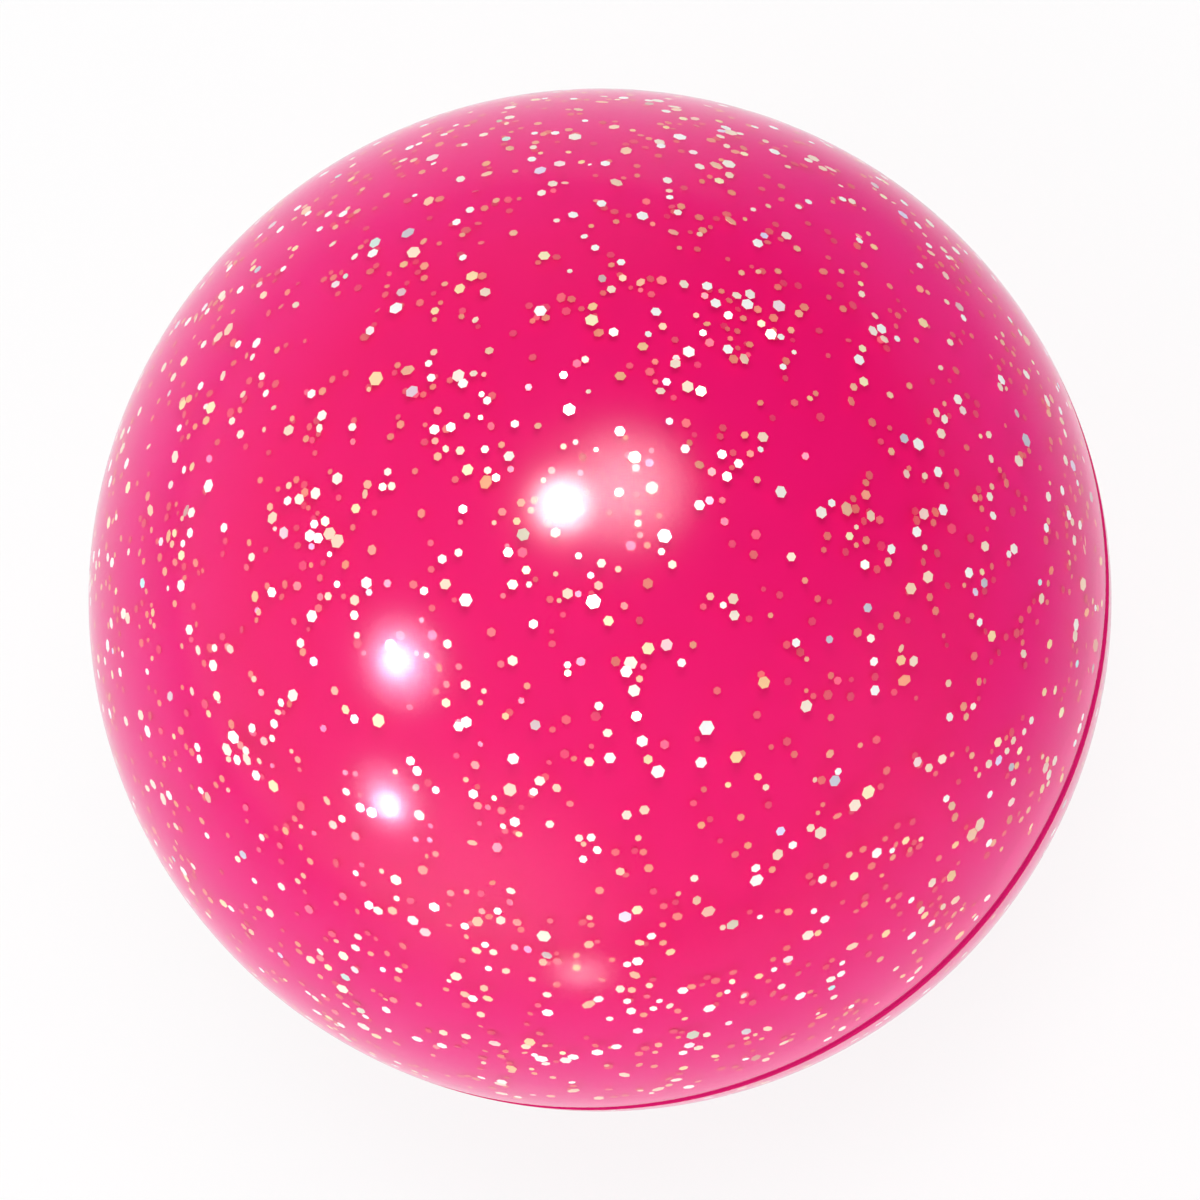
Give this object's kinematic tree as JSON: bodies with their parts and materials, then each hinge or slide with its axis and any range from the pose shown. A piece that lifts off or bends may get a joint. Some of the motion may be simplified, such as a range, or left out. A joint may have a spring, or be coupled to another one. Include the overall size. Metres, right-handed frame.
{
  "type": "glitter field hockey ball",
  "caption": "Smooth field hockey ball in clear pink plastic with glitter set in it, moulded as two cups that close on a cork core and are welded round the equator.",
  "frame": {"origin": "centre of the ball", "axes": "+Z along the axis of the two cups, square to the seam, towards the upper cup; the seam lies in the XY plane"},
  "size_m": [0.073, 0.073, 0.073],
  "materials": {
    "glitter_pvc": "gloss",
    "weld_pvc": "satin",
    "cork": "matte",
    "glitter_film": "polished"
  },
  "bodies": {
    "root": {"upper_shell": "glitter_pvc", "lower_shell": "glitter_pvc", "seam_weld": "weld_pvc", "cork_core": "cork"}
  },
  "joints": []
}
